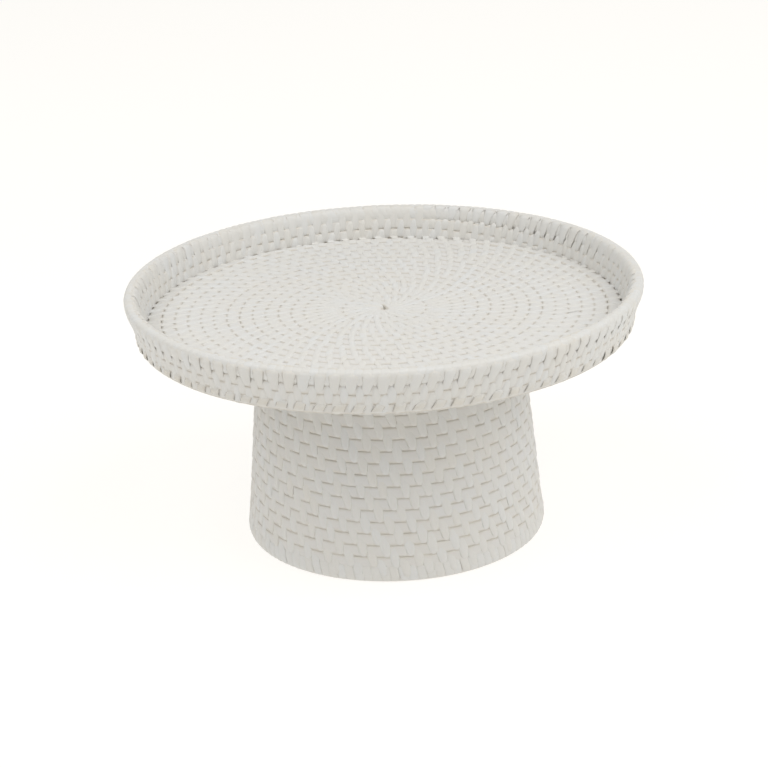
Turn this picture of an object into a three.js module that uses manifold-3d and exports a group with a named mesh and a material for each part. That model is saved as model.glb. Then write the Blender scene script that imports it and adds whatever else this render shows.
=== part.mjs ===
// Cake stand in coiled basketwork: a shallow round tray on a hollow flared pedestal.
// A round cane is coiled into the tray's floor, its wall and the pedestal, and flat peel is
// stitched round neighbouring courses. Millimetres, +Z up, origin at the centre of the foot.
import * as THREE from 'three';
import { mergeVertices } from 'three/addons/utils/BufferGeometryUtils.js';
import Module from 'manifold-3d';

const wasm = await Module();
wasm.setup();

// ---- Driving dimensions ----
const STAND_HEIGHT = 181;
const TRAY_RADIUS = 178; // over the rim
const TRAY_DEPTH = 31; // from the underside to the top of the rim
const TRAY_BASE_RADIUS = 171.5; // outside of the edge course
const FOOT_RADIUS = 105.5;
const NECK_RADIUS = 91; // outside of the pedestal at the tray's underside

const CANE = 7; // round cane of the floor and the pedestal
const WALL_CANE_HEIGHT = 5.4; // the same cane pressed flatter in the tray's wall
const RIM_CANE = 7.8; // the stouter rim hoop
const PEEL = 0.8; // thickness of the flat peel
const GAP = 0.3; // clearance between neighbouring pieces
const BUTT_GAP = 1.5; // between the ends of the floor cane and the wall cane

const FLOOR_COURSES = 17; // courses of the flat coil inside the edge course
const COURSES_BEYOND_LASHING = 8; // floor courses outside the one lashed to the pedestal
const WALL_COURSE_PITCH = 6.4;
const PEDESTAL_COURSES = 16; // between the foot hoop and the top hoop
const FLOOR_LENGTHS = 3; // canes that are joined into the floor's coil
const PEDESTAL_LENGTHS = 4;
const LASHING_STATIONS = 36;
const LASHING_WIDTH = 6;
const EYE_RADIUS = 10; // solid stitching at the start of the floor's coil

// Each course lies level and round, and climbs to the next one between these two angles.
const STEP_START = 60;
const STEP_END = 120;
const WALL_STEP_END = 80; // the wall climbs earlier, so that the floor's cane can run in below it
const FLOOR_END = 105; // angle where the floor's cane meets the wall's

// Straight sides in one turn.
const ROUND_SIDES = 36;
const COURSE_SIDES = 24;
const SMALL_COURSE_SIDES = 12;
const SMALL_COURSE_RADIUS = 60;

// ---- Sizes that follow ----
const UNDERSIDE = STAND_HEIGHT - TRAY_DEPTH;
const HALF_CAVITY = CANE / 2 + GAP;
const HALF_WALL = HALF_CAVITY + PEEL;
const CANE_SIDE = (CANE * Math.sqrt(Math.PI)) / 2; // square section of the round cane's area
const STEP_SHARE = (STEP_END - STEP_START) / 360;

const TOP_HOOP_HEIGHT = UNDERSIDE - GAP - CANE / 2;
const FOOT_HOOP_HEIGHT = HALF_WALL;
const LASHING_DROP = CANE + 2 * GAP + PEEL; // below the tray's underside
const LASHING_RISE = CANE + 2 * GAP + 2 * PEEL; // above the tray's underside
const FLOOR_THICKNESS = LASHING_RISE + 2 * GAP + PEEL;

const WALL_SLOPE = (TRAY_RADIUS - TRAY_BASE_RADIUS) / (TRAY_DEPTH - HALF_WALL);
const PEDESTAL_SLOPE = (FOOT_RADIUS - NECK_RADIUS) / UNDERSIDE;
const EDGE_RADIUS = TRAY_BASE_RADIUS - HALF_WALL;
const EDGE_HEIGHT = PEEL + GAP + WALL_CANE_HEIGHT / 2;
const LIP_HEIGHT = EDGE_HEIGHT + WALL_CANE_HEIGHT / 2 + GAP;
const RIM_BEAD = RIM_CANE / 2 + GAP + PEEL;
const WALL_TOP = TRAY_DEPTH - 2 * RIM_BEAD - GAP;

const LASHED_RADIUS = pedestalRadius(TOP_HOOP_HEIGHT);
const LASHED_COURSE = FLOOR_COURSES - 1 - COURSES_BEYOND_LASHING;
const FLOOR_PITCH = (EDGE_RADIUS - LASHED_RADIUS) / (COURSES_BEYOND_LASHING + 1);
const FLOOR_CANE_HEIGHT = PEEL + GAP + CANE_SIDE / 2;

const FOOT_BINDING_TOP = 2 * FOOT_HOOP_HEIGHT;
const PEDESTAL_WEB = FOOT_BINDING_TOP + GAP;
const PEDESTAL_TOP = UNDERSIDE - LASHING_DROP - GAP;
const LOWEST_COURSE = PEDESTAL_WEB + PEEL + HALF_CAVITY;
const HIGHEST_COURSE = PEDESTAL_TOP - HALF_CAVITY;
const PEDESTAL_PITCH = (HIGHEST_COURSE - LOWEST_COURSE) / (PEDESTAL_COURSES - 1);

// ---- Colours ----
const WHITE_PEEL = { color: 0xe6e2d8, roughness: 0.55, metalness: 0 };
const WHITE_CANE = { color: 0xd9d3c4, roughness: 0.7, metalness: 0 };

// Middle of the pedestal's wall at a height above the foot.
function pedestalRadius(height) {
  return FOOT_RADIUS - PEDESTAL_SLOPE * height - HALF_WALL;
}

// Outside of the tray's wall at a height above the tray's underside.
function trayRadius(height) {
  return TRAY_BASE_RADIUS + WALL_SLOPE * (height - EDGE_HEIGHT);
}

// ---- Solids and booleans ----
function toSolid(geometry) {
  const plain = geometry.clone();
  plain.deleteAttribute('normal');
  plain.deleteAttribute('uv');
  const merged = mergeVertices(plain, 1e-4);
  return new wasm.Manifold(new wasm.Mesh({
    numProp: 3,
    vertProperties: new Float32Array(merged.attributes.position.array),
    triVerts: new Uint32Array(merged.index.array),
  }));
}

function cut(geometry, cutters) {
  let solid = toSolid(geometry);
  for (const cutter of cutters) {
    solid = solid.subtract(toSolid(cutter));
  }
  const mesh = solid.getMesh();
  const result = new THREE.BufferGeometry();
  result.setAttribute('position', new THREE.BufferAttribute(mesh.vertProperties, 3));
  result.setIndex(new THREE.BufferAttribute(mesh.triVerts, 1));
  result.computeVertexNormals();
  return result;
}

function piece(name, geometry, look) {
  const mesh = new THREE.Mesh(geometry, new THREE.MeshStandardMaterial(look));
  mesh.name = name;
  return mesh;
}

// A solid turned about Z. The outline's [radius, height] points run counter-clockwise, and
// close on themselves unless they start and end on the axis.
function turned(outline, sides) {
  const points = outline.map(([radius, height]) => new THREE.Vector2(radius, height));
  if (points[0].x > 0) {
    points.push(points[0].clone());
  }
  return new THREE.LatheGeometry(points, sides).rotateX(Math.PI / 2);
}

// Points of an ellipse about a middle [radius, height], between two angles in degrees.
function arc(middle, halfWidth, halfHeight, from, to, count) {
  const points = [];
  for (let i = 0; i < count; i += 1) {
    const angle = THREE.MathUtils.degToRad(from + ((to - from) * i) / (count - 1));
    points.push([middle[0] + halfWidth * Math.cos(angle), middle[1] + halfHeight * Math.sin(angle)]);
  }
  return points;
}

// The eight-sided section of a round or pressed cane.
function caneSection(middle, width, height) {
  return arc(middle, width / 2, height / 2, 22.5, 337.5, 8);
}

// ---- Coiled canes ----
// The course that a coil has reached after so many turns, part way through a step if not whole.
function courseAt(turns) {
  const whole = Math.floor(turns + 1e-6);
  return whole + Math.max(0, (turns - whole - 1 + STEP_SHARE) / STEP_SHARE);
}

// A point of a coil whose turns start where a step ends. place(course) is [radius, height].
function coilPoint(turns, place, stepEnd) {
  const [radius, height] = place(courseAt(turns));
  const angle = THREE.MathUtils.degToRad(stepEnd + 360 * turns);
  return new THREE.Vector3(radius * Math.cos(angle), radius * Math.sin(angle), height);
}

function coilPoints(firstTurn, lastTurn, place, sidesOf, stepEnd = STEP_END) {
  const points = [];
  let turns = firstTurn;
  while (turns < lastTurn - 1e-6) {
    points.push(coilPoint(turns, place, stepEnd));
    turns += 1 / sidesOf(Math.floor(turns + 1e-6));
  }
  points.push(coilPoint(lastTurn, place, stepEnd));
  return points;
}

// A path through a coil's points, with frames that stay upright along it.
class CoilPath extends THREE.Curve {
  constructor(points) {
    super();
    this.points = points;
  }

  getPoint(share, target = new THREE.Vector3()) {
    const place = share * (this.points.length - 1);
    const first = Math.min(Math.floor(place), this.points.length - 2);
    return target.lerpVectors(this.points[first], this.points[first + 1], place - first);
  }

  getSpacedPoints() {
    return this.points;
  }

  computeFrenetFrames() {
    const tangents = this.points.map((point, i) => {
      const before = this.points[i - 1] ?? point;
      const after = this.points[i + 1] ?? point;
      return after.clone().sub(before).normalize();
    });
    const normals = tangents.map((along) => new THREE.Vector3(along.y, -along.x, 0).normalize());
    const binormals = tangents.map((along, i) => along.clone().cross(normals[i]));
    return { tangents, normals, binormals };
  }
}

function caneAlong(points, section) {
  const shape = new THREE.Shape(section.map(([x, y]) => new THREE.Vector2(x, y)));
  return new THREE.ExtrudeGeometry(shape, {
    steps: points.length - 1,
    bevelEnabled: false,
    extrudePath: new CoilPath(points),
  });
}

// A block that cuts off a cane on a slant in the middle of the side after points[joint]:
// what lies ahead of the cut if forward is 1, what lies behind it if forward is -1.
function scarfBlock(points, joint, forward) {
  const along = points[joint + 1].clone().sub(points[joint]);
  const middle = points[joint].clone().addScaledVector(along, 0.5);
  const reach = along.length() * forward;
  const slant = along.length() / 3;
  const start = -GAP * forward;
  const half = CANE_SIDE / 2 + GAP;
  const outline = new THREE.Shape([
    new THREE.Vector2(start - slant, -half),
    new THREE.Vector2(start + reach, -half),
    new THREE.Vector2(start + reach, half),
    new THREE.Vector2(start + slant, half),
  ]);
  const block = new THREE.ExtrudeGeometry(outline, { depth: 2 * half, bevelEnabled: false });
  block.translate(0, 0, -half);
  block.rotateX(Math.PI / 2);
  block.rotateZ(Math.atan2(along.y, along.x));
  return block.translate(middle.x, middle.y, middle.z);
}

// Splits a coil into canes of about the same length, scarfed together end to end.
function scarfedCanes(name, points, count) {
  const half = CANE_SIDE / 2;
  const section = [[half, -half], [half, half], [-half, half], [-half, -half]];
  const walked = [0];
  for (let i = 1; i < points.length; i += 1) {
    walked.push(walked[i - 1] + points[i].distanceTo(points[i - 1]));
  }
  const jointAfter = (part) => walked.findIndex((far) => far > (walked.at(-1) * part) / count) - 1;
  const canes = [];
  for (let part = 0; part < count; part += 1) {
    const blocks = [];
    let first = 0;
    let last = points.length - 1;
    if (part > 0) {
      first = jointAfter(part);
      blocks.push(scarfBlock(points, first, -1));
    }
    if (part < count - 1) {
      last = jointAfter(part + 1) + 1;
      blocks.push(scarfBlock(points, last - 1, 1));
    }
    const cane = caneAlong(points.slice(first, last + 1), section);
    canes.push(piece(`${name}_${part + 1}`, cut(cane, blocks), WHITE_CANE));
  }
  return canes;
}

// ---- Tray: heights are above its underside ----
function floorPlace(course) {
  return [LASHED_RADIUS + FLOOR_PITCH * (course - LASHED_COURSE), FLOOR_CANE_HEIGHT];
}

function floorCanes() {
  const sidesOf = (course) => {
    if (course === LASHED_COURSE) {
      return ROUND_SIDES;
    }
    return floorPlace(course)[0] < SMALL_COURSE_RADIUS ? SMALL_COURSE_SIDES : COURSE_SIDES;
  };
  const lastTurn = FLOOR_COURSES - (STEP_END - FLOOR_END) / 360;
  return scarfedCanes('floor_cane', coilPoints(0, lastTurn, floorPlace, sidesOf), FLOOR_LENGTHS);
}

// The cane that runs in from the floor, round the edge and up the wall.
function wallCane() {
  const place = (course) => {
    const height = EDGE_HEIGHT + WALL_COURSE_PITCH * course;
    return [trayRadius(height) - HALF_WALL, height];
  };
  const firstTurn = (STEP_END - WALL_STEP_END) / 360;
  const points = coilPoints(firstTurn, 3 - STEP_SHARE, place, () => ROUND_SIDES, WALL_STEP_END);
  const end = FLOOR_COURSES - (STEP_END - FLOOR_END) / 360;
  const runIn = coilPoint(end, (course) => [floorPlace(course)[0], EDGE_HEIGHT], STEP_END);
  const start = runIn.addScaledVector(points[0].clone().sub(runIn).normalize(), BUTT_GAP);
  const section = caneSection([0, 0], CANE, WALL_CANE_HEIGHT);
  return piece('wall_cane', caneAlong([start, ...points], section), WHITE_CANE);
}

// A dish and a lid of peel, joined at the eye of the coil and open under the wall.
function floorStitching() {
  const edge = [EDGE_RADIUS, EDGE_HEIGHT];
  const lidRadius = trayRadius(FLOOR_THICKNESS) - 2 * HALF_WALL;
  const lidUnderside = FLOOR_THICKNESS - PEEL;
  const outline = [
    [0, 0],
    ...arc(edge, HALF_WALL, EDGE_HEIGHT, -90, 0, 5),
    [trayRadius(LIP_HEIGHT), LIP_HEIGHT],
    [trayRadius(LIP_HEIGHT) - PEEL, LIP_HEIGHT],
    ...arc(edge, HALF_CAVITY, EDGE_HEIGHT - PEEL, 0, -90, 5),
    [EYE_RADIUS, PEEL],
    [EYE_RADIUS, lidUnderside],
    [lidRadius, lidUnderside],
    [lidRadius, FLOOR_THICKNESS],
    [0, FLOOR_THICKNESS],
  ];
  return piece('floor_stitching', cut(turned(outline, ROUND_SIDES), lashingSlots()), WHITE_PEEL);
}

// Peel on both sides of the wall, joined over its top course.
function wallStitching() {
  const outer = (height) => [trayRadius(height), height];
  const inner = (height) => [trayRadius(height) - 2 * HALF_WALL, height];
  const inwards = ([radius, height], distance) => [radius - distance, height];
  const bottom = LIP_HEIGHT + GAP;
  const innerBottom = FLOOR_THICKNESS + GAP;
  const outline = [
    outer(bottom),
    outer(WALL_TOP),
    inner(WALL_TOP),
    inner(innerBottom),
    inwards(inner(innerBottom), -PEEL),
    inwards(inner(WALL_TOP - PEEL), -PEEL),
    inwards(outer(WALL_TOP - PEEL), PEEL),
    inwards(outer(bottom), PEEL),
  ];
  return piece('wall_stitching', turned(outline, ROUND_SIDES), WHITE_PEEL);
}

function rim() {
  const middle = [TRAY_RADIUS - RIM_BEAD, TRAY_DEPTH - RIM_BEAD];
  const slit = 20; // degrees to each side of straight down
  const lining = RIM_BEAD - PEEL;
  const binding = [
    ...arc(middle, RIM_BEAD, RIM_BEAD, slit - 90, 270 - slit, 9),
    ...arc(middle, lining, lining, 270 - slit, slit - 90, 9),
  ];
  return [
    piece('rim_hoop', turned(caneSection(middle, RIM_CANE, RIM_CANE), ROUND_SIDES), WHITE_CANE),
    piece('rim_binding', turned(binding, ROUND_SIDES), WHITE_PEEL),
  ];
}

// ---- Lashings between the tray and the pedestal's top hoop ----
// Their stations lie on the middles of the hoop's sides, apart from those over the step.
function lashingAngles() {
  const angles = [];
  for (let station = 0; station < LASHING_STATIONS; station += 1) {
    const angle = (360 * (station + 0.5)) / LASHING_STATIONS;
    if (angle < STEP_START || angle > STEP_END) {
      angles.push(angle);
    }
  }
  return angles;
}

// Turns and moves something from the Z axis out to a lashing's place.
function putAtStation(thing, angle) {
  const turn = THREE.MathUtils.degToRad(angle);
  const radius = LASHED_RADIUS * Math.cos(Math.PI / ROUND_SIDES);
  thing.rotateZ(turn);
  thing.position.set(radius * Math.cos(turn), radius * Math.sin(turn), 0);
  return thing;
}

// One loop of peel round the top hoop and the floor course above it.
function lashing(name, angle) {
  const outline = rectangle(-HALF_WALL, -LASHING_DROP, HALF_WALL, LASHING_RISE);
  const hole = rectangle(-HALF_CAVITY, PEEL - LASHING_DROP, HALF_CAVITY, LASHING_RISE - PEEL);
  const shape = new THREE.Shape(outline);
  shape.holes.push(new THREE.Path(hole));
  const loop = new THREE.ExtrudeGeometry(shape, { depth: LASHING_WIDTH, bevelEnabled: false });
  loop.translate(0, 0, -LASHING_WIDTH / 2).rotateX(Math.PI / 2);
  return putAtStation(piece(name, loop, WHITE_PEEL), angle);
}

function rectangle(left, bottom, right, top) {
  return [[left, bottom], [right, bottom], [right, top], [left, top]].map(
    ([x, y]) => new THREE.Vector2(x, y),
  );
}

// Cutters for the two slots by which each lashing passes through the floor's lower skin.
function lashingSlots() {
  const cutters = [];
  for (const angle of lashingAngles()) {
    for (const side of [-1, 1]) {
      const slot = new THREE.BoxGeometry(PEEL + 2 * GAP, LASHING_WIDTH + 2 * GAP, 2 * (PEEL + GAP));
      slot.translate(side * (HALF_CAVITY + PEEL / 2), 0, 0);
      const place = putAtStation(new THREE.Object3D(), angle);
      place.updateMatrix();
      cutters.push(slot.applyMatrix4(place.matrix));
    }
  }
  return cutters;
}

function lashings() {
  return lashingAngles().map((angle, i) => {
    const number = String(i + 1).padStart(2, '0');
    return lashing(`lashing_${number}`, angle);
  });
}

// ---- Pedestal: heights are above the foot ----
function pedestalCanes() {
  const place = (course) => {
    const height = HIGHEST_COURSE - PEDESTAL_PITCH * course;
    return [pedestalRadius(height), height];
  };
  const points = coilPoints(0, PEDESTAL_COURSES - STEP_SHARE, place, () => COURSE_SIDES);
  return scarfedCanes('pedestal_cane', points, PEDESTAL_LENGTHS);
}

// Peel on both sides of the pedestal, joined under its lowest course.
function pedestalStitching() {
  const at = (height, offset) => [pedestalRadius(height) + offset, height];
  const outline = [
    at(PEDESTAL_WEB, HALF_WALL),
    at(PEDESTAL_TOP, HALF_WALL),
    at(PEDESTAL_TOP, HALF_CAVITY),
    at(PEDESTAL_WEB + PEEL, HALF_CAVITY),
    at(PEDESTAL_WEB + PEEL, -HALF_CAVITY),
    at(PEDESTAL_TOP, -HALF_CAVITY),
    at(PEDESTAL_TOP, -HALF_WALL),
    at(PEDESTAL_WEB, -HALF_WALL),
  ];
  return piece('pedestal_stitching', turned(outline, COURSE_SIDES), WHITE_PEEL);
}

function topHoop() {
  const section = caneSection([LASHED_RADIUS, TOP_HOOP_HEIGHT], CANE, CANE);
  return piece('top_hoop', turned(section, ROUND_SIDES), WHITE_CANE);
}

function foot() {
  const radius = pedestalRadius(FOOT_HOOP_HEIGHT);
  const bevel = PEEL + GAP + CANE / 4;
  const trough = (half, floor, corner) => [
    [radius + half, FOOT_BINDING_TOP],
    [radius - half, FOOT_BINDING_TOP],
    [radius - half, floor + corner],
    [radius - half + corner, floor],
    [radius + half - corner, floor],
    [radius + half, floor + corner],
  ];
  const [top, , ...outside] = trough(HALF_WALL, 0, bevel);
  const [innerTop, innerFarTop, ...inside] = trough(HALF_CAVITY, PEEL, bevel - PEEL / 2);
  const section = caneSection([radius, FOOT_HOOP_HEIGHT], CANE, CANE);
  const binding = [
    [radius - HALF_WALL, FOOT_BINDING_TOP],
    ...outside,
    top,
    innerTop,
    ...inside.reverse(),
    innerFarTop,
  ];
  return [
    piece('foot_hoop', turned(section, COURSE_SIDES), WHITE_CANE),
    piece('foot_binding', turned(binding, COURSE_SIDES), WHITE_PEEL),
  ];
}

// ---- Assembly ----
const tray = new THREE.Group();
tray.add(...floorCanes(), floorStitching(), wallCane(), wallStitching(), ...rim(), ...lashings());
tray.position.z = UNDERSIDE;

const pedestal = new THREE.Group();
pedestal.add(topHoop(), ...pedestalCanes(), pedestalStitching(), ...foot());

const cakeStand = new THREE.Group();
cakeStand.add(tray, pedestal);

export default cakeStand;
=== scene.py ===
import math
import random
from collections import namedtuple

import bpy
import numpy as np
from mathutils import Matrix, Vector


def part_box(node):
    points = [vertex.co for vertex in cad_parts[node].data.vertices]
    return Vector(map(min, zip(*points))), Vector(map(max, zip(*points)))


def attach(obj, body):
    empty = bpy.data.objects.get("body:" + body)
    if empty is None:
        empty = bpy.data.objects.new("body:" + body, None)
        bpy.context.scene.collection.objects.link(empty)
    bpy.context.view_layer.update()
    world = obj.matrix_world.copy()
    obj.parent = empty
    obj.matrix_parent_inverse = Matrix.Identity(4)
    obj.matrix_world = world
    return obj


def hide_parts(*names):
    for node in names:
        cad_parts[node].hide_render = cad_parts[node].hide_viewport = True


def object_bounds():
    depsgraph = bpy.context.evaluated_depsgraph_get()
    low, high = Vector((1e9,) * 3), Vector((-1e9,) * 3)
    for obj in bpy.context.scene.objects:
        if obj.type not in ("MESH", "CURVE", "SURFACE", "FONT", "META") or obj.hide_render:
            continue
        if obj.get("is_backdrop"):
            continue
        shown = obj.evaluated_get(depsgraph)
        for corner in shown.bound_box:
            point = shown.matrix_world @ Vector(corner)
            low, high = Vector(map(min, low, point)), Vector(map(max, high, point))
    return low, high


# Cake stand in coiled basketwork painted white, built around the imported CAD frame.
#
# A round cane is coiled into the tray's floor, its wall and the pedestal, and narrow peel is
# stitched round neighbouring courses. Lengths are in millimetres until a mesh is made, angles are
# measured from +X about the vertical axis, and a turn of a coil starts where a step ends.

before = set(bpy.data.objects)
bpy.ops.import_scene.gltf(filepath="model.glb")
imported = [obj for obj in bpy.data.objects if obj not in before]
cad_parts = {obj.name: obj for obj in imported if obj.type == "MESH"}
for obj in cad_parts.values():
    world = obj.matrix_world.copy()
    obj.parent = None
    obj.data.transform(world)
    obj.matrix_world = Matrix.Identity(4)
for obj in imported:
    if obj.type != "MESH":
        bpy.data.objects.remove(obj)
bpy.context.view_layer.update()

MM = 0.001
BODY = "root"
FULL_TURN = 2 * math.pi


def node_box(node):
    """Lowest and highest corner of a CAD node, in millimetres."""
    return tuple(np.array(corner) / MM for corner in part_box(node))


def ring_of(node):
    """(radius, height) of the middle of a hoop's section."""
    low, high = node_box(node)
    half = (high[2] - low[2]) / 2
    return high[0] - half, low[2] + half


# ---- Places in the frame ----
HALF_WALL = 4.6  # from the middle of a stitched wall to its outside in the frame
LIP_FLARE = 0.74  # the tray's lip is this much wider than its edge course
EDGE_RISE = 3.8  # edge course above the tray's underside
TOP_MARGIN = 3.8  # highest course below the top of the stitched pedestal

UNDERSIDE = node_box("floor_stitching")[0][2]
FLOOR_TOP = node_box("floor_stitching")[1][2]
FLOOR_MIDDLE = (UNDERSIDE + FLOOR_TOP) / 2
EDGE_RADIUS = node_box("floor_stitching")[1][0] - LIP_FLARE - HALF_WALL
TOP_HOOP = ring_of("top_hoop")
FOOT_HOOP = ring_of("foot_hoop")
RIM_HOOP = ring_of("rim_hoop")

PEDESTAL_COURSES = 16
HIGHEST_COURSE = node_box("pedestal_stitching")[1][2] - TOP_MARGIN
LOWEST_COURSE = node_box("pedestal_stitching")[0][2] + HALF_WALL
PEDESTAL_PITCH = (HIGHEST_COURSE - LOWEST_COURSE) / (PEDESTAL_COURSES - 1)

FLOOR_COURSES = 18  # with the small turn inside the eye
COURSES_BEYOND_LASHING = 9  # from the course lashed to the pedestal to the edge course
FLOOR_PITCH = (EDGE_RADIUS - TOP_HOOP[0]) / COURSES_BEYOND_LASHING

EDGE_SINK = 1.0  # the edge course lies this much below the floor's middle

WALL_COURSES = 3
WALL_PITCH = 7.0  # in height
WALL_SLOPE = 0.2462  # growth in radius for each millimetre of height

STEP_SHARE = 1 / 6  # part of a turn in which a coil steps to its next course
STEP_END = 120.0  # degrees
WALL_STEP_END = 80.0

FOOT_SHIFT = 2.6  # the handmade pedestal stands this far off the tray's axis, to +X
SHIFT_HEIGHT = 45.0  # below the tray, over which it comes in

# ---- Coils ----
CANE_DEPTH = 4.0  # half of a painted course through the wall
FLOOR_CANE_DEPTH = 4.65
WALL_CANE_DEPTH = 4.0
GROOVE = 0.04  # share of a course's depth that is lost towards its neighbours
COURSE_FILL = 0.995  # a painted course nearly fills its pitch

SAME_TURN = 1e-6  # a point this little short of a whole turn counts as past it

Coil = namedtuple("Coil", "courses place step_end depth height")


def pedestal_place(course):
    height = HIGHEST_COURSE - PEDESTAL_PITCH * course
    share = (TOP_HOOP[1] - height) / (TOP_HOOP[1] - FOOT_HOOP[1])
    return TOP_HOOP[0] + (FOOT_HOOP[0] - TOP_HOOP[0]) * share, height


def floor_place(course):
    radius = EDGE_RADIUS - FLOOR_PITCH * (FLOOR_COURSES - course)
    sink = EDGE_SINK * max(0.0, course - FLOOR_COURSES + 1)
    return radius, FLOOR_MIDDLE - sink


def wall_place(course):
    rise = WALL_PITCH * course
    return EDGE_RADIUS + WALL_SLOPE * rise, UNDERSIDE + EDGE_RISE + rise


PEDESTAL = Coil(PEDESTAL_COURSES, pedestal_place, STEP_END, CANE_DEPTH, PEDESTAL_PITCH / 2)
FLOOR = Coil(FLOOR_COURSES, floor_place, STEP_END, FLOOR_CANE_DEPTH, FLOOR_PITCH / 2)
WALL = Coil(WALL_COURSES, wall_place, WALL_STEP_END, WALL_CANE_DEPTH, WALL_PITCH / 2)


def coil_state(coil, turns):
    """(course, share of the cane's size) at a point of a coil. Its ends taper in the step."""
    if turns < -STEP_SHARE:
        return -1.0, 1.0
    if turns < 0:
        through = (turns + STEP_SHARE) / STEP_SHARE
        return -0.5 + through / 2, through
    if turns >= coil.courses:
        return float(coil.courses), 1.0
    if turns > coil.courses - STEP_SHARE:
        through = (turns - coil.courses + STEP_SHARE) / STEP_SHARE
        return coil.courses - 1 + through / 2, 1 - through
    whole = math.floor(turns + SAME_TURN)
    return whole + max(0.0, (turns - whole - 1 + STEP_SHARE) / STEP_SHARE), 1.0


def coil_angle(coil, turns):
    return math.radians(coil.step_end) + FULL_TURN * turns


def section_axes(a, b):
    """Unit vectors, as (radius, height): from place a to place b, and square to that."""
    across = np.array([b[0] - a[0], b[1] - a[1]])
    across /= np.linalg.norm(across)
    return across, np.array([-across[1], across[0]])


# ---- Meshes ----
class Build:
    """Vertices, quads and surface values of one piece, gathered part by part."""

    def __init__(self):
        self.points, self.quads, self.tones, self.crowns, self.uvs = [], [], [], [], []
        self.count = 0

    def grid(self, points, crown, tone, lengths, widths, closed):
        """Adds rings of points, shape (rings, points in a ring, 3), joined in order.

        The rings close on themselves, or both ends are capped. Crown is 1 on top of a piece and 0
        in its crevices, where the paint turns to painted shade, and tone is a tint between 0 and
        1.
        """
        rings, size = points.shape[:2]
        self.points.append(points.reshape(-1, 3))
        self.crowns.append(np.broadcast_to(crown, (rings, size)).reshape(-1))
        self.tones.append(np.broadcast_to(tone, (rings, size)).reshape(-1))
        first = self.count + np.arange(rings if closed else rings - 1)[:, None] * size
        after = self.count + (np.arange(1, len(first) + 1)[:, None] % rings) * size
        here = np.arange(size)[None, :]
        there = (here + 1) % size
        quads = np.stack([first + here, first + there, after + there, after + here], axis=-1)
        self.quads.append(quads.reshape(-1, 4))
        spans = np.append(lengths, 2 * lengths[-1] - lengths[-2])[: len(first) + 1]
        turns = np.append(widths, 2 * widths[-1] - widths[-2])
        u0, u1 = spans[:-1, None], spans[1:, None]
        v0, v1 = turns[None, :-1], turns[None, 1:]
        u0, u1, v0, v1 = np.broadcast_arrays(u0, u1, v0, v1)
        corners = [np.stack(pair, -1) for pair in ((u0, v0), (u0, v1), (u1, v1), (u1, v0))]
        self.uvs.append(np.stack(corners, axis=-2).reshape(-1, 2))
        if not closed:
            self.cap(self.count, size, True)
            self.cap(self.count + (rings - 1) * size, size, False)
        self.count += rings * size

    def cap(self, start, size, flipped):
        """Closes the end of a tube with a strip of quads."""
        for i in range(size // 2 - 1):
            quad = [start + i, start + size - 1 - i, start + size - 2 - i, start + i + 1]
            self.quads.append(np.array([quad if not flipped else quad[::-1]]))
            self.uvs.append(np.zeros((4, 2)))

    def finish(self, name, material, replaced):
        """Makes the piece, which takes the place of one CAD node."""
        points = np.concatenate(self.points) * MM
        quads = np.concatenate(self.quads)
        mesh = bpy.data.meshes.new(name)
        mesh.vertices.add(len(points))
        mesh.vertices.foreach_set("co", points.astype(np.float32).ravel())
        mesh.loops.add(quads.size)
        mesh.loops.foreach_set("vertex_index", quads.astype(np.int32).ravel())
        mesh.polygons.add(len(quads))
        mesh.polygons.foreach_set("loop_start", np.arange(0, quads.size, 4, dtype=np.int32))
        mesh.update(calc_edges=True)
        mesh.validate()
        mesh.polygons.foreach_set("use_smooth", np.ones(len(mesh.polygons), bool))
        layer = mesh.uv_layers.new(name="along_and_across")
        layer.data.foreach_set("uv", np.concatenate(self.uvs).astype(np.float32).ravel())
        for label, values in (("tone", self.tones), ("crown", self.crowns)):
            attribute = mesh.attributes.new(label, "FLOAT", "POINT")
            attribute.data.foreach_set("value", np.concatenate(values).astype(np.float32))
        mesh.materials.append(material)
        piece = bpy.data.objects.new(name, mesh)
        bpy.context.scene.collection.objects.link(piece)
        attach(piece, BODY)
        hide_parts(replaced)


def to_space(radius, angle, height):
    """Points from places about the axis, with the pedestal a little off it."""
    share = np.clip((UNDERSIDE - height) / SHIFT_HEIGHT, 0, 1)
    shift = FOOT_SHIFT * share * share * (3 - 2 * share)
    return np.stack([radius * np.cos(angle) + shift, radius * np.sin(angle), height], axis=-1)


def rounded(half_length, half_depth, count, squareness):
    """Points of a superellipse, counted round from the far end: along it and through it."""
    angles = FULL_TURN * np.arange(count) / count
    power = 2 / squareness
    along = half_length * np.sign(np.cos(angles)) * np.abs(np.cos(angles)) ** power
    through = half_depth * np.sign(np.sin(angles)) * np.abs(np.sin(angles)) ** power
    return along, through


WANDER_WAVES = ((2, 0.35), (3, 0.3), (5, 0.25), (9, 0.15), (14, 0.1))  # (waves in a turn, share)


def wander(angle, seed):
    """Slow handmade unevenness of about -1 to 1, which closes on itself after a turn."""
    phases = random.Random(seed)
    total = 0.0
    for waves, share in WANDER_WAVES:
        total = total + share * np.sin(waves * angle + phases.uniform(0, FULL_TURN))
    return total


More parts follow.
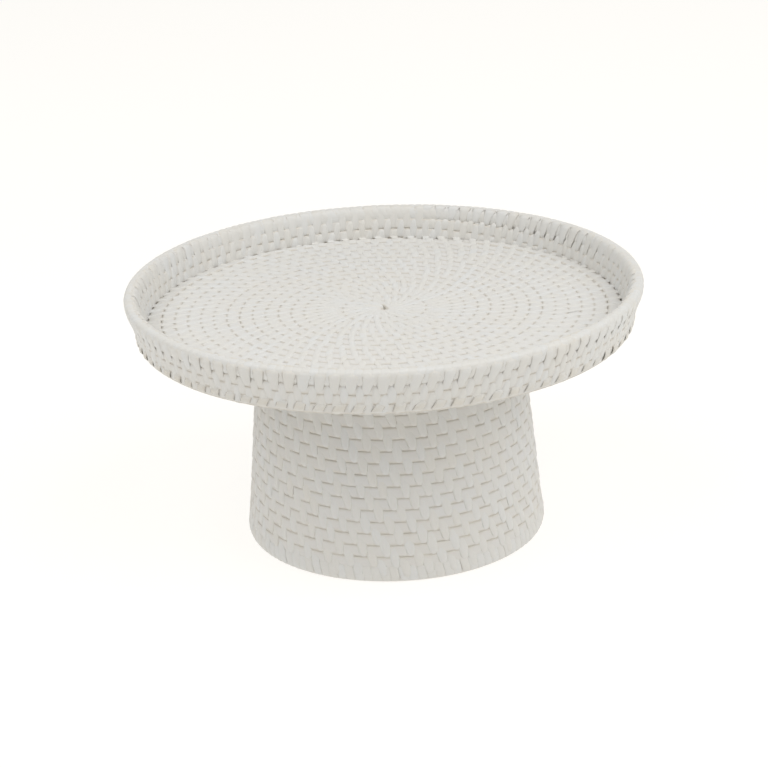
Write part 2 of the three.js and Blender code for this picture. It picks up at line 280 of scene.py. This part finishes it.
# ---- Materials ----
class Nodes:
    """Short ways to add shader nodes to a material."""

    def __init__(self, tree):
        self.nodes = tree.nodes
        self.links = tree.links

    def attribute(self, label):
        node = self.nodes.new("ShaderNodeAttribute")
        node.attribute_name = label
        return node.outputs["Fac"]

    def noise(self, vector, scale):
        node = self.nodes.new("ShaderNodeTexNoise")
        node.inputs["Scale"].default_value = scale
        node.inputs["Detail"].default_value = 3
        node.inputs["Roughness"].default_value = 0.55
        self.links.new(vector, node.inputs["Vector"])
        return node.outputs["Fac"]

    def remap(self, value, low, high, to_low, to_high):
        node = self.nodes.new("ShaderNodeMapRange")
        node.inputs["From Min"].default_value = low
        node.inputs["From Max"].default_value = high
        node.inputs["To Min"].default_value = to_low
        node.inputs["To Max"].default_value = to_high
        self.links.new(value, node.inputs["Value"])
        return node.outputs["Result"]

    def mix(self, kind, factor, a, b):
        """Mixes two colours. Each input is a number, a colour or an output of a node."""
        node = self.nodes.new("ShaderNodeMix")
        node.data_type = "RGBA"
        node.blend_type = kind
        for socket, value in ((node.inputs[0], factor), (node.inputs[6], a), (node.inputs[7], b)):
            if isinstance(value, (int, float)):
                socket.default_value = value
            elif isinstance(value, tuple):
                socket.default_value = (*value, 1)
            else:
                self.links.new(value, socket)
        return node.outputs[2]

    def add(self, a, b):
        node = self.nodes.new("ShaderNodeMath")
        node.operation = "ADD"
        self.links.new(a, node.inputs[0])
        self.links.new(b, node.inputs[1])
        return node.outputs[0]


GLOSS = 0.35  # specular level
FIBRE_STRETCH = (0.16, 1.9, 1)  # scale of the noise along and across the fibres
FIBRE_SCALE = 1.4
BRUSH_SCALE = 230
PATCH_SCALE = 26
BRUSH_LOW, BRUSH_HIGH = 0.3, 0.7  # most of the brush noise lies between these
BRUSH_SHADE_EDGE = 0.18  # how far the brush marks move the edge of the painted shade in the crevices
UNSHADED_CROWN = 0.62  # no painted shade from this crown upwards
WARM_TINT = (0.99, 0.93, 0.83)
COOL_TINT = (0.985, 1.0, 1.03)
TINT_SHARE = 0.35
STREAK_SHARE = 0.22  # of the darker colour, also used for painted shade, in a streak along the fibres
PATCH_SHARE = 0.28  # of the darker colour, also used for painted shade, in a worn patch
BRUSH_RELIEF = 0.5
BUMP_STRENGTH = 0.45
BUMP_DISTANCE = 0.0004  # metres


def painted(name, paint, shade_and_grain, roughness, fibre_relief):
    """Brushed white paint over rattan: fibres along the piece, and painted shade, darker and
    warmer, in the crevices.
    """
    material = bpy.data.materials.new(name)
    material.use_nodes = True
    shader = material.node_tree.nodes["Principled BSDF"]
    shader.inputs["Specular IOR Level"].default_value = GLOSS
    kit = Nodes(material.node_tree)
    uv = kit.nodes.new("ShaderNodeUVMap")
    uv.uv_map = "along_and_across"
    place = kit.nodes.new("ShaderNodeTexCoord")
    stretch = kit.nodes.new("ShaderNodeMapping")
    stretch.inputs["Scale"].default_value = FIBRE_STRETCH
    kit.links.new(uv.outputs["UV"], stretch.inputs["Vector"])
    fibre = kit.noise(stretch.outputs["Vector"], FIBRE_SCALE)
    brush = kit.noise(place.outputs["Object"], BRUSH_SCALE)
    patch = kit.noise(place.outputs["Object"], PATCH_SCALE)

    # Painted shade: the paint turns to the darker, warmer second colour where the crown falls
    # towards the crevices.
    ragged = kit.remap(brush, BRUSH_LOW, BRUSH_HIGH, -BRUSH_SHADE_EDGE, BRUSH_SHADE_EDGE)
    height_in_weave = kit.add(kit.attribute("crown"), ragged)
    painted_shade = kit.remap(height_in_weave, 0.0, UNSHADED_CROWN, 1, 0)
    colour = kit.mix("MIX", painted_shade, paint, shade_and_grain)
    warm = tuple(c * f for c, f in zip(paint, WARM_TINT))
    cool = tuple(min(1.0, c * f) for c, f in zip(paint, COOL_TINT))
    tint = kit.mix("MIX", kit.remap(kit.attribute("tone"), 0, 1, 0, 1), warm, cool)
    colour = kit.mix("MIX", TINT_SHARE, colour, kit.mix("MULTIPLY", 1.0, colour, tint))
    colour = kit.mix("MIX", kit.remap(fibre, 0.36, 0.5, STREAK_SHARE, 0), colour, shade_and_grain)
    colour = kit.mix("MIX", kit.remap(patch, 0.42, 0.72, 0, PATCH_SHARE), colour, shade_and_grain)
    kit.links.new(colour, shader.inputs["Base Color"])
    uneven = kit.remap(brush, BRUSH_LOW, BRUSH_HIGH, roughness - 0.07, roughness + 0.09)
    kit.links.new(uneven, shader.inputs["Roughness"])

    relief = kit.add(
        kit.remap(fibre, 0, 1, 0, fibre_relief), kit.remap(brush, 0, 1, 0, BRUSH_RELIEF)
    )
    bump = kit.nodes.new("ShaderNodeBump")
    bump.inputs["Strength"].default_value = BUMP_STRENGTH
    bump.inputs["Distance"].default_value = BUMP_DISTANCE
    kit.links.new(relief, bump.inputs["Height"])
    kit.links.new(bump.outputs["Normal"], shader.inputs["Normal"])
    return material


# Each paint's second colour is painted shade in the crevices, and also the colour of fibre
# streaks and worn patches.
PEEL_PAINT = painted(
    "white_painted_peel", paint=(0.75, 0.75, 0.735), shade_and_grain=(0.70, 0.67, 0.61),
    roughness=0.5, fibre_relief=0.7,
)
CANE_PAINT = painted(
    "white_painted_cane", paint=(0.745, 0.74, 0.725), shade_and_grain=(0.69, 0.66, 0.60),
    roughness=0.56, fibre_relief=0.5,
)

# ---- Canes ----
PEDESTAL_LENGTHS = 4
FLOOR_LENGTHS = 3
CREST_POINTS = 7
CREST_POWER = 2.6  # how late a pressed cane's side turns into the groove
CANE_STEPS = 150  # rings in a turn
SCARF = 7.0  # length of the slanted cut where two canes are joined
LUMPS = ((0.015, 97.0, 0.0), (0.012, 41.3, 1.0))  # (share of depth, radians in a turn, start)
THINNEST_END = 0.06  # share of the cane's size left where it tapers out
END_GAP = 0.004  # turns left off a coil's end, where nothing would remain of the cane
CANE_CROWN = 0.8  # on top of a coiled cane, falling to 0 in the groove, which takes painted shade
CANE_POINT_WIDTH = 1.7  # surface between two points of a cane's section
SMALLEST_RADIUS = 8.0  # inside this, cuts and peel keep their angle instead of their length
JOINT_SAMPLES = 2000


def pressed_section():
    """A round cane pressed between its neighbours, whose flanks the paint closes."""
    crest = np.linspace(-1, 1, CREST_POINTS)
    depth = 1 - GROOVE * np.abs(crest) ** CREST_POWER
    along = np.concatenate([crest[::-1], crest])
    through = np.concatenate([depth, -depth])
    return along, through


def coil_cane(build, coil, first, last, rng, slant_first, slant_last):
    """A cane of a coil from one turn to another."""
    rings = int((last - first) * CANE_STEPS)
    along, through = pressed_section()
    tone = rng.random()
    points = np.zeros((rings, len(along), 3))
    lengths = np.zeros(rings)
    for i, turn in enumerate(np.linspace(first, last, rings)):
        course, size = coil_state(coil, turn)
        size = max(size, THINNEST_END)
        radius, height = coil.place(course)
        across, out = section_axes((radius, height), coil.place(course + 0.5))
        lump = 1 + sum(share * math.sin(turn * waves + start) for share, waves, start in LUMPS)
        s = along * coil.height * COURSE_FILL * size
        d = through * coil.depth * size * lump
        slanted = (i == 0 and slant_first) or (i == rings - 1 and slant_last)
        cut = along * SCARF / 2 if slanted else 0 * along
        angle = coil_angle(coil, turn)
        ring_radius = radius + s * across[0] + d * out[0]
        ring_height = height + s * across[1] + d * out[1]
        ring_angle = angle + cut / max(radius, SMALLEST_RADIUS)
        points[i] = to_space(ring_radius, ring_angle, ring_height)
        lengths[i] = radius * angle
    crown = (np.abs(through) - 1 + GROOVE) / GROOVE * CANE_CROWN
    widths = np.arange(len(along)) * CANE_POINT_WIDTH
    build.grid(points, crown[None, :], tone, lengths, widths, closed=False)


def cane_joints(coil, lengths):
    """Turns at which a coil's canes are joined, so that all are about the same length."""
    turns = np.linspace(-STEP_SHARE, coil.courses, JOINT_SAMPLES)
    radii = np.array([coil.place(coil_state(coil, t)[0])[0] for t in turns])
    walked = np.cumsum(np.maximum(radii, 1.0))
    targets = [walked[-1] * part / lengths for part in range(1, lengths)]
    return [turns[int(np.searchsorted(walked, target))] for target in targets]


def coiled_canes(coil, lengths, name, node, seed):
    rng = random.Random(seed)
    ends = [-STEP_SHARE, *cane_joints(coil, lengths), coil.courses - END_GAP]
    for part in range(lengths):
        build = Build()
        coil_cane(build, coil, ends[part], ends[part + 1], rng, part > 0, part < lengths - 1)
        build.finish(f"{name}_{part + 1}", CANE_PAINT, f"{node}_{part + 1}")


def wall_cane():
    build = Build()
    last = WALL_COURSES - END_GAP
    coil_cane(build, WALL, -STEP_SHARE, last, random.Random(13), False, False)
    build.finish("wall_coil", CANE_PAINT, "wall_cane")


coiled_canes(PEDESTAL, PEDESTAL_LENGTHS, "pedestal_coil", "pedestal_cane", 11)
coiled_canes(FLOOR, FLOOR_LENGTHS, "floor_coil", "floor_cane", 12)
wall_cane()

# ---- Hoops ----
HOOP_STEPS = 180
HOOP_SECTION = 14  # points round a hoop
HOOP_SQUARENESS = 2.4
# The hoops' crown, which gives them a little painted shade all round.
HOOP_CROWN = 0.5
HOOP_DEPTH = 3.9  # half of a hoop's section
FOOT_HOOP_RISE = 4.5  # half of the foot hoop's height
RIM_WOBBLE = 0.45


def rim_wobble(angle):
    return RIM_WOBBLE * wander(angle, 71)


def no_wobble(angle):
    return 0.0 * angle


def hoop(name, node, ring, half_height, wobble):
    """A closed painted hoop."""
    build = Build()
    angles = FULL_TURN * np.arange(HOOP_STEPS) / HOOP_STEPS
    along, through = rounded(half_height, HOOP_DEPTH, HOOP_SECTION, HOOP_SQUARENESS)
    radius = ring[0] + through[None, :] + wobble(angles)[:, None]
    height = ring[1] + along[None, :] + np.zeros((HOOP_STEPS, 1))
    points = to_space(radius, -angles[:, None], height)
    widths = np.arange(HOOP_SECTION) * CANE_POINT_WIDTH
    tone = random.Random(node).random()
    build.grid(points, HOOP_CROWN, tone, ring[0] * angles, widths, closed=True)
    build.finish(name, CANE_PAINT, node)


hoop("top_ring", "top_hoop", TOP_HOOP, HOOP_DEPTH, no_wobble)
hoop("foot_ring", "foot_hoop", FOOT_HOOP, FOOT_HOOP_RISE, no_wobble)
hoop("rim_ring", "rim_hoop", RIM_HOOP, HOOP_DEPTH, rim_wobble)

# ---- Peel ----
LOOP_STEPS = 24
# Across the peel in widths, and above the loop in thicknesses.
PEEL_SECTION = np.array([
    (-0.50, -0.05), (-0.37, 0.58), (-0.15, 0.94), (0.15, 0.94),
    (0.37, 0.58), (0.50, -0.05), (0.25, -0.40), (-0.25, -0.40),
])
PEEL_POINT_WIDTH = 0.8  # surface between two points of the peel's section
PINCH_POWER = 2.5  # how late the peel narrows towards its ends
EDGE_CROWN = 0.35  # crown left at the peel's edges, which take part of the painted shade
END_CROWN = 0.15  # crown left at the ends of a stitch, which take most of the painted shade
PATTERN_REACH = 400  # the grain of each stitch starts somewhere within this length

# How far one stitch differs from the next at a jitter of 1: shares, millimetres for the depth
# and degrees for the lean.
LENGTH_SPREAD = 0.02
DEPTH_SPREAD = 0.1
WIDTH_SPREAD = 0.09
THICKNESS_SPREAD = 0.14
LEAN_SPREAD = 4.5
PLACE_SPREAD = 0.035  # share of the distance between stitches
SHORTEST_SPAN = 0.2  # courses; a stitch that would span less is left out
SAME_STITCH = 1e-9  # a row's end this close to a stitch counts as lying on it

# Depth is half of a loop through the wall, and margin is how far the loop reaches beyond the
# middle of its courses. Lean is in degrees, from the first course to the second to +angle. Pinch
# is the share of the width lost at both ends, and taper the share lost from the middle to the
# second end. Rise lifts the half of the stitch towards the second end and sinks the other half.
Peel = namedtuple("Peel", "width thickness lean depth margin pinch taper rise squareness")


def loop_outline(distance, margins, peel, rng, jitter, second_depth):
    """Points of a stitch's loop: along it, through it, and as a share of its half length."""
    half = (distance + sum(margins)) / 2 * (1 + LENGTH_SPREAD * jitter * rng.uniform(-1, 1))
    depth = peel.depth + DEPTH_SPREAD * jitter * rng.uniform(-1, 1)
    s, d = rounded(half, depth, LOOP_STEPS, peel.squareness)
    reach = s / half
    lift = peel.rise * reach * (1 - reach ** 2) + second_depth * (1 + reach) / 2
    return s, d + d / depth * lift, reach


def peel_loop(build, angle, a, b, sizes, peel, rng, jitter=1.0, second_depth=0.0):
    """One stitch round two courses whose middles are a and b, as (radius, height)."""
    across, out = section_axes(a, b)
    distance = math.hypot(b[0] - a[0], b[1] - a[1])
    margins = peel.margin * sizes[0], peel.margin * sizes[1]
    middle = (np.array(a) + np.array(b)) / 2 + across * (margins[1] - margins[0]) / 2
    s, d, reach = loop_outline(distance, margins, peel, rng, jitter, second_depth)
    step_s = np.roll(s, -1) - np.roll(s, 1)
    step_d = np.roll(d, -1) - np.roll(d, 1)
    size = np.hypot(step_s, step_d)
    normal_s, normal_d = step_d / size, -step_s / size
    width = peel.width * (1 + WIDTH_SPREAD * jitter * rng.uniform(-1, 1))
    width = width * (1 - peel.pinch * np.abs(reach) ** PINCH_POWER) * (1 - peel.taper * reach)
    thick = peel.thickness * (1 + THICKNESS_SPREAD * jitter * rng.uniform(-1, 1))
    lean = math.tan(math.radians(peel.lean + LEAN_SPREAD * jitter * rng.uniform(-1, 1)))
    x = PEEL_SECTION[None, :, 0] * width[:, None]
    h = PEEL_SECTION[None, :, 1] * thick
    ring_s = s[:, None] + normal_s[:, None] * h
    ring_d = d[:, None] + normal_d[:, None] * h
    radius = middle[0] + ring_s * across[0] + ring_d * out[0]
    height = middle[1] + ring_s * across[1] + ring_d * out[1]
    side = d / np.abs(d).max()  # the lean turns over on the far side, as in a wound stitch
    turn = (lean * side[:, None] * ring_s + x) / np.maximum(radius, SMALLEST_RADIUS)
    points = to_space(radius, angle + turn, height)
    edge = EDGE_CROWN + (1 - EDGE_CROWN) * np.clip(PEEL_SECTION[:, 1], 0, 1)
    crest = END_CROWN + (1 - END_CROWN) * np.sqrt(1 - reach ** 2)
    crown = edge[None, :] * crest[:, None]
    lengths = np.cumsum(size) / 2 + rng.uniform(0, PATTERN_REACH)
    widths = np.arange(len(PEEL_SECTION)) * PEEL_POINT_WIDTH + rng.uniform(0, PATTERN_REACH)
    build.grid(points, crown, rng.random(), lengths, widths, closed=True)


def coil_row(build, coil, per_turn, first, last, peel, rng, end_place=None, end_depth=0.0):
    """Stitches of one row, each round the coil's course and the next one.

    Beyond the coil's last course they go round end_place, where one is given, and stand out by
    end_depth.
    """
    index = math.ceil(first * per_turn - SAME_STITCH)
    while index / per_turn < last - SAME_STITCH:
        turns = index / per_turn + PLACE_SPREAD * rng.uniform(-1, 1) / per_turn
        course, size = coil_state(coil, turns)
        next_course, next_size = coil_state(coil, turns + 1)
        beyond = next_course >= coil.courses
        a = coil.place(course)
        b = end_place if beyond and end_place is not None else coil.place(next_course)
        if next_course - course > SHORTEST_SPAN:
            angle = coil_angle(coil, turns)
            second_depth = end_depth if beyond else 0.0
            peel_loop(
                build, angle, a, b, (size, next_size), peel, rng, second_depth=second_depth
            )
        index += 1


# ---- Stitching of the pedestal ----
PEDESTAL_PER_TURN = 40.587
PEDESTAL_PEEL = Peel(
    width=7.6, thickness=0.75, lean=9, depth=CANE_DEPTH - 0.36, margin=4.7,
    pinch=0.45, taper=0.15, rise=0.8, squareness=5.0,
)
STITCHED_END = (FOOT_HOOP[0], FOOT_HOOP[1] + 4.0)  # under the wrapping of the foot


def pedestal_stitches():
    rng = random.Random(21)
    for row in range(-1, PEDESTAL_COURSES):
        build = Build()
        first = row - STEP_SHARE if row == -1 else row
        end_place = STITCHED_END if row == PEDESTAL_COURSES - 1 else None
        coil_row(
            build, PEDESTAL, PEDESTAL_PER_TURN, first, row + 1, PEDESTAL_PEEL, rng, end_place
        )
        name = f"pedestal_stitches_{row + 2:02d}"
        build.finish(name, PEEL_PAINT, "pedestal_stitching")


# ---- Stitching of the tray's floor ----
FLOOR_PER_TURN = ((0, 14.6), (1, 22.6), (3, 45.6), (8, 64.6), (12, 84.6))  # (from row, stitches)
FLOOR_PEEL = Peel(
    width=5.4, thickness=0.75, lean=12, depth=FLOOR_CANE_DEPTH - 0.25, margin=4.8,
    pinch=0.3, taper=0.0, rise=0.0, squareness=2.9,
)
OUTER_FLOOR_ROW = 12  # from here outwards the peel is wider
OUTER_FLOOR_PEEL = FLOOR_PEEL._replace(width=6.5)
EDGE_FLOOR_PEEL = FLOOR_PEEL._replace(width=6.8, taper=-0.3, pinch=0.15)


def floor_peel(row):
    if row == FLOOR_COURSES - 1:
        return EDGE_FLOOR_PEEL
    return OUTER_FLOOR_PEEL if row >= OUTER_FLOOR_ROW else FLOOR_PEEL


def floor_stitches():
    rng = random.Random(22)
    for row in range(FLOOR_COURSES):
        build = Build()
        per_turn = [stitches for from_row, stitches in FLOOR_PER_TURN if from_row <= row][-1]
        coil_row(build, FLOOR, per_turn, row, row + 1, floor_peel(row), rng)
        build.finish(f"floor_stitches_{row + 1:02d}", PEEL_PAINT, "floor_stitching")


# ---- Stitching of the tray's wall ----
WALL_PER_TURN = 108.5
WALL_PEEL = Peel(
    width=6.3, thickness=0.75, lean=-10, depth=WALL_CANE_DEPTH - 0.35, margin=4.4,
    pinch=0.35, taper=0.05, rise=0.2, squareness=4.0,
)
WALL_ROW_PEELS = (
    WALL_PEEL._replace(width=7.0, taper=0.38, pinch=0.0),  # wide under the tray's edge
    WALL_PEEL,
    WALL_PEEL._replace(width=7.4, taper=-0.32, pinch=0.0),  # wide on the rim
)
RIM_TUCK = (RIM_HOOP[0] + 0.2, RIM_HOOP[1] - 0.4)  # where the top stitches end in the rim
RIM_SWELL = 0.65


def wall_stitches():
    rng = random.Random(23)
    for row, peel in enumerate(WALL_ROW_PEELS):
        build = Build()
        first = -STEP_SHARE if row == 0 else row
        coil_row(build, WALL, WALL_PER_TURN, first, row + 1, peel, rng, RIM_TUCK, RIM_SWELL)
        build.finish(f"wall_stitches_{row + 1}", PEEL_PAINT, "wall_stitching")


pedestal_stitches()
floor_stitches()
wall_stitches()

# ---- Binding of the rim ----
RIM_WRAPS = 196
WRAP_STEPS = 8  # rings in one wrap
RIM_MIDDLE = (RIM_HOOP[0] - 0.1, RIM_HOOP[1] - 1.0)  # the peel also goes round the top course
RIM_HALF_HEIGHT = 6.0
RIM_HALF_DEPTH = 4.6
RIM_SECTION = 22  # points round the binding
RIM_SQUARENESS = 2.6
RIM_POINT_WIDTH = 1.4
WRAP_GROOVE = 0.08  # share of the section lost between two wraps
WRAP_LEAN = 0.35  # wraps
WRAP_SWELL = 0.012  # share of the section by which a wrap stands out or back
WRAP_FLATNESS = 5  # how late a wrap turns into its groove
FLATNESS_SPREAD = 2  # from wrap to wrap
# Crown left at a wrap's edges, whose grooves take painted shade.
WRAP_EDGE_CROWN = 0.3


def rim_wrapping():
    """Peel wound closely round the rim and painted over, with a shallow groove at each edge."""
    build = Build()
    rng = random.Random(24)
    rings = RIM_WRAPS * WRAP_STEPS
    angles = FULL_TURN * np.arange(rings) / rings
    along, through = rounded(1.0, 1.0, RIM_SECTION, RIM_SQUARENESS)
    nudges = np.array([rng.uniform(-1, 1) for _ in range(RIM_WRAPS)])
    swells = np.array([rng.uniform(-1, 1) for _ in range(RIM_WRAPS)])
    tones = np.array([rng.random() for _ in range(RIM_WRAPS)])
    wrap = angles[:, None] * RIM_WRAPS / FULL_TURN + WRAP_LEAN * along[None, :]
    number = np.floor(wrap).astype(int) % RIM_WRAPS
    edge = np.abs(2 * (wrap - np.floor(wrap)) - 1)
    dip = edge ** (WRAP_FLATNESS + FLATNESS_SPREAD * nudges[number])
    swell = 1 + WRAP_SWELL * swells[number] * (1 - edge ** 2) - WRAP_GROOVE * dip
    rise = RIM_HALF_HEIGHT * along[None, :] * swell
    flare = WALL_SLOPE * rise  # the section stands in line with the flaring wall
    radius = RIM_MIDDLE[0] + RIM_HALF_DEPTH * through[None, :] * swell + flare
    radius = radius + rim_wobble(angles)[:, None]
    points = to_space(radius, -angles[:, None], RIM_MIDDLE[1] + rise)
    crown = 1 - (1 - WRAP_EDGE_CROWN) * dip
    widths = np.arange(RIM_SECTION) * RIM_POINT_WIDTH
    build.grid(points, crown, tones[number], RIM_MIDDLE[0] * angles, widths, closed=True)
    build.finish("rim_wrapping", PEEL_PAINT, "rim_binding")


# ---- Binding of the foot ----
FOOT_WRAPS = 106
FOOT_PEEL = Peel(
    width=7.2, thickness=0.6, lean=12, depth=4.1, margin=3.9,
    pinch=0.1, taper=0.0, rise=0.0, squareness=2.7,
)
FOOT_BINDING_TOP = (FOOT_HOOP[0] - 0.4, FOOT_HOOP[1] + 5.0)
FOOT_PLACE_SPREAD = 0.04
FOOT_JITTER = 0.5


def foot_wrapping():
    build = Build()
    rng = random.Random(25)
    for wrap in range(FOOT_WRAPS):
        angle = FULL_TURN * (wrap + FOOT_PLACE_SPREAD * rng.uniform(-1, 1)) / FOOT_WRAPS
        peel_loop(
            build, angle, FOOT_BINDING_TOP, FOOT_HOOP, (1, 1), FOOT_PEEL, rng, FOOT_JITTER
        )
    build.finish("foot_wrapping", PEEL_PAINT, "foot_binding")


# ---- Lashings between pedestal and tray ----
LASHING_STATIONS = 36
LASHING_PEEL = Peel(
    width=5.8, thickness=0.8, lean=0, depth=3.9, margin=4.3,
    pinch=0.05, taper=0.0, rise=0.0, squareness=2.7,
)
LASHED_COURSE = (TOP_HOOP[0], FLOOR_MIDDLE - 0.7)
LASHING_JITTER = 0.4


def lashings():
    """One lashing at each station, but none where the floor's coil steps."""
    rng = random.Random(26)
    stations = [360 * (station + 0.5) / LASHING_STATIONS for station in range(LASHING_STATIONS)]
    step_start = STEP_END - 360 * STEP_SHARE
    lashed = [degrees for degrees in stations if not step_start <= degrees <= STEP_END]
    for number, degrees in enumerate(lashed, start=1):
        build = Build()
        angle = math.radians(degrees)
        peel_loop(
            build, angle, LASHED_COURSE, TOP_HOOP, (1, 1), LASHING_PEEL, rng, LASHING_JITTER
        )
        name = f"neck_lashing_{number:02d}"
        build.finish(name, PEEL_PAINT, f"lashing_{number:02d}")


rim_wrapping()
foot_wrapping()
lashings()

# ---- Studio, in metres ----
AIR_COLOUR = (1, 0.985, 0.965, 1)
AIR_STRENGTH = 0.34
Light = namedtuple("Light", "name place size power")
LIGHTS = (
    Light("high_right", (1.2, -0.7, 1.8), 2.0, 28),
    Light("high_left", (-1.1, -0.6, 1.8), 2.0, 23),
    Light("low_right", (1.8, 0.4, 0.8), 1.2, 2.5),
)
LIGHT_AIM = Vector((0, 0, 0.1))

PAPER_HALF = 6.0
PAPER_BEND = 1.2  # radius of the bend behind the stand
PAPER_RISE = 4.0
BEND_STEPS = 12
PAPER_BASE = (0.25, 0.25, 0.25, 1)  # a dark base throws little light back at the stand
PAPER_GLOW = (1, 0.98, 0.94, 1)
PAPER_GLOW_STRENGTH = 0.8

CAMERA_PLACE = (0, -1.602, 0.7224)
CAMERA_LENS = 115.2  # millimetres
CAMERA_SENSOR = 36  # millimetres
CAMERA_DOWN, CAMERA_ROLL, CAMERA_TURN = 21.11, 2.39, 0.087  # degrees


def studio_air():
    world = bpy.data.worlds.new("studio_air")
    bpy.context.scene.world = world
    world.use_nodes = True
    background = world.node_tree.nodes["Background"]
    background.inputs["Color"].default_value = AIR_COLOUR
    background.inputs["Strength"].default_value = AIR_STRENGTH


def studio_light(light):
    data = bpy.data.lights.new(light.name, "AREA")
    data.size = light.size
    data.energy = light.power
    lamp = bpy.data.objects.new(light.name, data)
    lamp.location = light.place
    lamp.rotation_mode = "QUATERNION"
    lamp.rotation_quaternion = (LIGHT_AIM - lamp.location).to_track_quat("-Z", "Y")
    bpy.context.scene.collection.objects.link(lamp)


def studio_paper():
    """A matt paper that gives off part of its own light, so that it shows as white."""
    material = bpy.data.materials.new("studio_paper")
    material.use_nodes = True
    shader = material.node_tree.nodes["Principled BSDF"]
    shader.inputs["Base Color"].default_value = PAPER_BASE
    shader.inputs["Roughness"].default_value = 0.9
    shader.inputs["Emission Color"].default_value = PAPER_GLOW
    shader.inputs["Emission Strength"].default_value = PAPER_GLOW_STRENGTH
    return material


def studio_floor(level):
    """A pale floor that curves up far behind the stand."""
    flat_end = PAPER_HALF - PAPER_BEND
    outline = [(-PAPER_HALF, 0.0), (flat_end, 0.0)]
    for i in range(1, BEND_STEPS + 1):
        angle = math.pi / 2 * i / BEND_STEPS
        back = flat_end + PAPER_BEND * math.sin(angle)
        outline.append((back, PAPER_BEND - PAPER_BEND * math.cos(angle)))
    outline.append((PAPER_HALF, PAPER_RISE))
    points = [(x, y, z + level) for y, z in outline for x in (-PAPER_HALF, PAPER_HALF)]
    faces = [(2 * i, 2 * i + 1, 2 * i + 3, 2 * i + 2) for i in range(len(outline) - 1)]
    mesh = bpy.data.meshes.new("studio_floor")
    mesh.from_pydata(points, [], faces)
    mesh.polygons.foreach_set("use_smooth", [True] * len(mesh.polygons))
    mesh.materials.append(studio_paper())
    floor = bpy.data.objects.new("studio_floor", mesh)
    bpy.context.scene.collection.objects.link(floor)
    floor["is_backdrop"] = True


def camera():
    data = bpy.data.cameras.new("camera")
    data.lens = CAMERA_LENS
    data.sensor_width = CAMERA_SENSOR
    data.clip_end = 50
    item = bpy.data.objects.new("camera", data)
    item.matrix_world = (
        Matrix.Translation(CAMERA_PLACE)
        @ Matrix.Rotation(math.radians(CAMERA_TURN), 4, "Z")
        @ Matrix.Rotation(math.radians(90 - CAMERA_DOWN), 4, "X")
        @ Matrix.Rotation(-math.radians(CAMERA_ROLL), 4, "Z")
    )
    bpy.context.scene.collection.objects.link(item)
    bpy.context.scene.camera = item


studio_air()
for light in LIGHTS:
    studio_light(light)
studio_floor(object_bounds()[0][2])
camera()
bpy.context.scene.view_settings.view_transform = "Standard"
bpy.context.scene.view_settings.look = "None"
